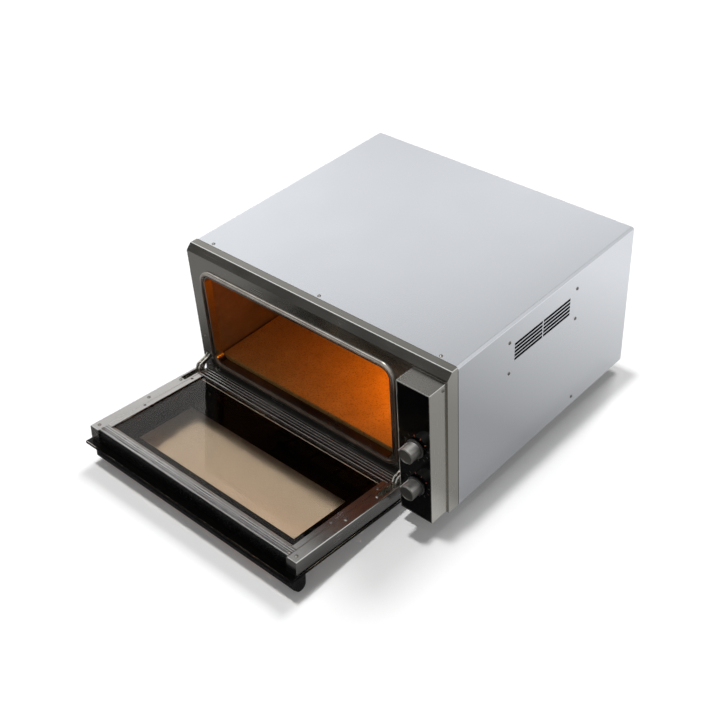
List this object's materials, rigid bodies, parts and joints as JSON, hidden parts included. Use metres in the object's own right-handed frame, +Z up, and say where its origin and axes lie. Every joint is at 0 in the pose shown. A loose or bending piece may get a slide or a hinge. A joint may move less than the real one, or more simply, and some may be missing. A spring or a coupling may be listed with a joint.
{
  "type": "electric pizza oven",
  "caption": "Countertop electric pizza oven: steel box with a lit stone-floored chamber, a drop-down double-glazed door with a bar handle, and a side control box with rotary knobs.",
  "frame": {"origin": "on the floor under the middle of the box around the oven with its door open", "axes": "+X to the oven's right as seen from the front, +Y to the rear, +Z up; the door opens to -Y"},
  "size_m": [0.7038, 0.9728, 0.3759],
  "materials": {
    "cover_steel": "satin stainless sheet",
    "panel_steel": "plain coated steel sheet",
    "facia_steel": "brushed stainless sheet",
    "gasket_rubber": "grey braided or silicone seal",
    "chamber_steel": "aluminised steel sheet",
    "mineral_wool": "loose mineral fibre slab",
    "refractory_stone": "rough refractory stone",
    "element_steel": "dull dark sheath",
    "lamp_steel": "plain steel cup",
    "lamp_glass": "clear heat-proof glass",
    "control_steel": "brushed stainless sheet",
    "control_glass": "glossy black panel with printed dial marks",
    "thermostat_ceramic": "pale moulding",
    "gland_plastic": "black moulding",
    "foot_rubber": "matt black",
    "hinge_steel": "bright plated steel",
    "screw_steel": "plated steel",
    "knob_metal": "satin turned metal",
    "skirt_plastic": "black moulding",
    "shaft_steel": "plain steel",
    "rail_steel": "brushed steel channel",
    "ridged_aluminium": "ridged extrusion",
    "inner_pane": "bronze-tinted pane",
    "outer_pane": "tinted pane with a black printed border",
    "handle_black": "gloss black"
  },
  "bodies": {
    "oven": {"outer_cover": "cover_steel", "base_pan": "panel_steel", "rear_panel": "panel_steel", "vent_deflector": "panel_steel", "front_facia": "facia_steel", "throat_frame": "facia_steel", "door_gasket": "gasket_rubber", "chamber_floor": "chamber_steel", "chamber_roof": "chamber_steel", "chamber_left_wall": "chamber_steel", "chamber_right_wall": "chamber_steel", "chamber_rear_wall": "chamber_steel", "stone_supports": "chamber_steel", "roof_wool": "mineral_wool", "floor_wool": "mineral_wool", "left_wool": "mineral_wool", "right_wool": "mineral_wool", "rear_wool": "mineral_wool", "baking_stone": "refractory_stone", "lower_element": "element_steel", "upper_element": "element_steel", "element_clips": "element_steel", "lamp_holder": "lamp_steel", "lamp_bulb": "lamp_glass", "lamp_lens": "lamp_glass", "control_box": "control_steel", "control_panel": "control_glass", "upper_thermostat": "thermostat_ceramic", "lower_thermostat": "thermostat_ceramic", "terminal_block": "thermostat_ceramic", "cable_gland": "gland_plastic", "feet": "foot_rubber", "left_hinge_arm": "hinge_steel", "right_hinge_arm": "hinge_steel", "hinge_sockets": "hinge_steel", "cover_screws": "screw_steel", "rear_screws": "screw_steel", "foot_screws": "screw_steel", "facia_screws": "screw_steel"},
    "door": {"left_rail": "rail_steel", "right_rail": "rail_steel", "front_rail": "ridged_aluminium", "rear_rail": "ridged_aluminium", "inner_glass": "inner_pane", "outer_glass": "outer_pane", "glass_retainers": "rail_steel", "handle_bar": "handle_black", "handle_ends": "handle_black", "door_screws": "screw_steel", "hinge_cases": "hinge_steel", "pivot_pins": "hinge_steel", "hinge_springs": "hinge_steel"},
    "upper_dial": {"upper_knob": "knob_metal", "upper_skirt": "skirt_plastic", "upper_shaft": "shaft_steel"},
    "lower_dial": {"lower_knob": "knob_metal", "lower_skirt": "skirt_plastic", "lower_shaft": "shaft_steel"}
  },
  "joints": [
    {"name": "door_hinge", "type": "hinge", "parent": "oven", "child": "door", "pos_m": [-0.0465, -0.17515, 0.0435], "axis": [-1, 0, 0], "range_deg": [0, 84.5]},
    {"name": "upper_dial_turn", "type": "hinge", "parent": "oven", "child": "upper_dial", "pos_m": [0.31175, -0.19405, 0.213], "axis": [0, -1, 0], "range_deg": [-10, 300]},
    {"name": "lower_dial_turn", "type": "hinge", "parent": "oven", "child": "lower_dial", "pos_m": [0.31175, -0.19405, 0.118], "axis": [0, -1, 0], "range_deg": [-10, 300]}
  ]
}
